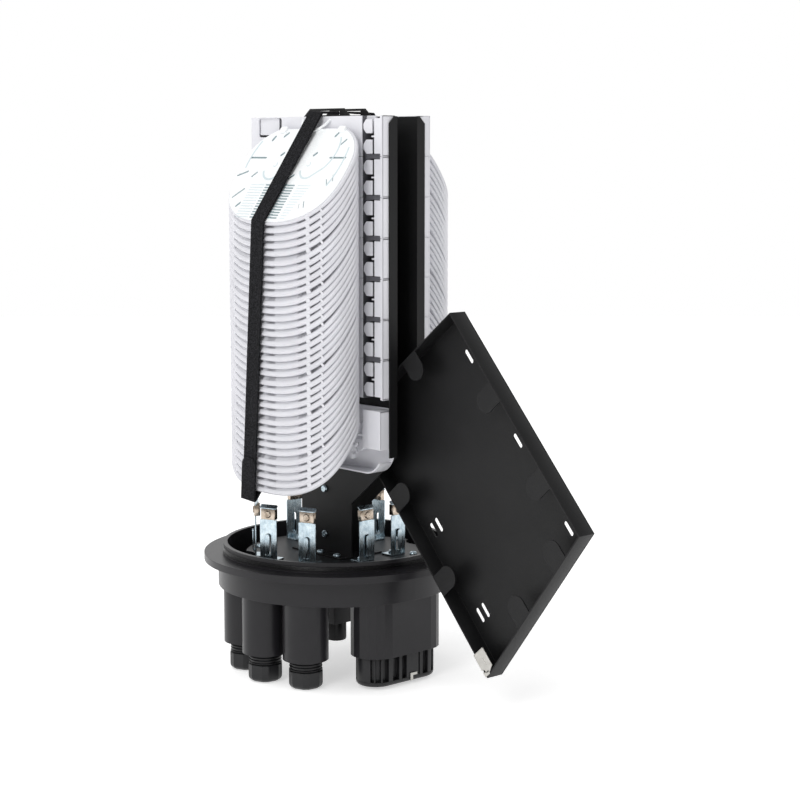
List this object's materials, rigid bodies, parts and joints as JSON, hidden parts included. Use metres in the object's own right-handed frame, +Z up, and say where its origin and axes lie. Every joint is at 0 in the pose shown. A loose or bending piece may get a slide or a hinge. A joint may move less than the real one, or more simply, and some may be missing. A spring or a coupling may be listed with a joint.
{
  "type": "dome splice closure",
  "caption": "Fibre splice closure base with cable ports, a sheet frame with two stacks of hinged splice trays held by straps, and a swinging loose tube basket.",
  "frame": {"origin": "on the base's round axis, at the floor under the gland nuts", "axes": "+Z up along the base's axis, +X towards the oval port and the basket, Y through the two tray stacks"},
  "size_m": [0.5076, 0.284, 0.5978],
  "materials": {
    "moulded_black": "moulded glass filled polypropylene, satin",
    "plug_black": "moulded, satin",
    "valve_black": "moulded, satin",
    "seal_rubber": "smooth elastomer",
    "zinc_plate": "dark coated steel",
    "zinc_steel": "blue passivated zinc",
    "clamp_nickel": "nickel plated",
    "spring_steel": "bright spring steel",
    "powder_coat": "black powder coat",
    "white_abs": "moulded, satin",
    "tray_white": "moulded, satin",
    "tray_cover": "translucent white, glossy",
    "strap_fabric": "hook and loop tape"
  },
  "bodies": {
    "root": {"base_body": "moulded_black", "base_plate": "zinc_plate", "base_plate_screws": "zinc_steel", "basket_pivot_pin": "zinc_steel", "bracket_screws": "zinc_steel", "cable_bracket_1": "zinc_steel", "cable_bracket_2": "zinc_steel", "cable_bracket_3": "zinc_steel", "cable_bracket_4": "zinc_steel", "cable_bracket_5": "zinc_steel", "cable_bracket_6": "zinc_steel", "cable_bracket_7": "zinc_steel", "clamp_bands": "clamp_nickel", "clamp_screws": "clamp_nickel", "flange_seal": "seal_rubber", "frame_profile": "powder_coat", "frame_screws": "zinc_steel", "front_groove_plate_1": "white_abs", "front_groove_plate_2": "white_abs", "front_groove_plate_3": "white_abs", "front_groove_plate_4": "white_abs", "front_groove_plate_5": "white_abs", "front_groove_plate_6": "white_abs", "front_groove_plate_7": "white_abs", "front_organizer": "white_abs", "front_strap": "strap_fabric", "front_tray_cover": "tray_cover", "front_trays_1": "tray_white", "front_trays_2": "tray_white", "front_trays_3": "tray_white", "front_trays_4": "tray_white", "front_trays_5": "tray_white", "front_trays_6": "tray_white", "front_trays_7": "tray_white", "gland_nuts": "moulded_black", "oval_port_seal": "plug_black", "oval_seal_clip": "spring_steel", "port_gland_1": "moulded_black", "port_gland_2": "moulded_black", "port_gland_3": "moulded_black", "port_gland_4": "moulded_black", "port_gland_5": "moulded_black", "port_plugs": "seal_rubber", "rear_groove_plates": "white_abs", "rear_organizer": "white_abs", "rear_strap": "strap_fabric", "rear_tray_cover": "tray_cover", "rear_trays_1": "tray_white", "rear_trays_2": "tray_white", "rear_trays_3": "tray_white", "rear_trays_4": "tray_white", "rear_trays_5": "tray_white", "rear_trays_6": "tray_white", "rear_trays_7": "tray_white", "test_valve": "valve_black"},
    "basket": {"basket": "powder_coat", "basket_clip": "spring_steel"}
  },
  "joints": [
    {"name": "basket_hinge", "type": "hinge", "parent": "root", "child": "basket", "pos_m": [0.076, 0, 0.2728], "axis": [0, -1, 0], "range_deg": [0, 138.2]}
  ]
}
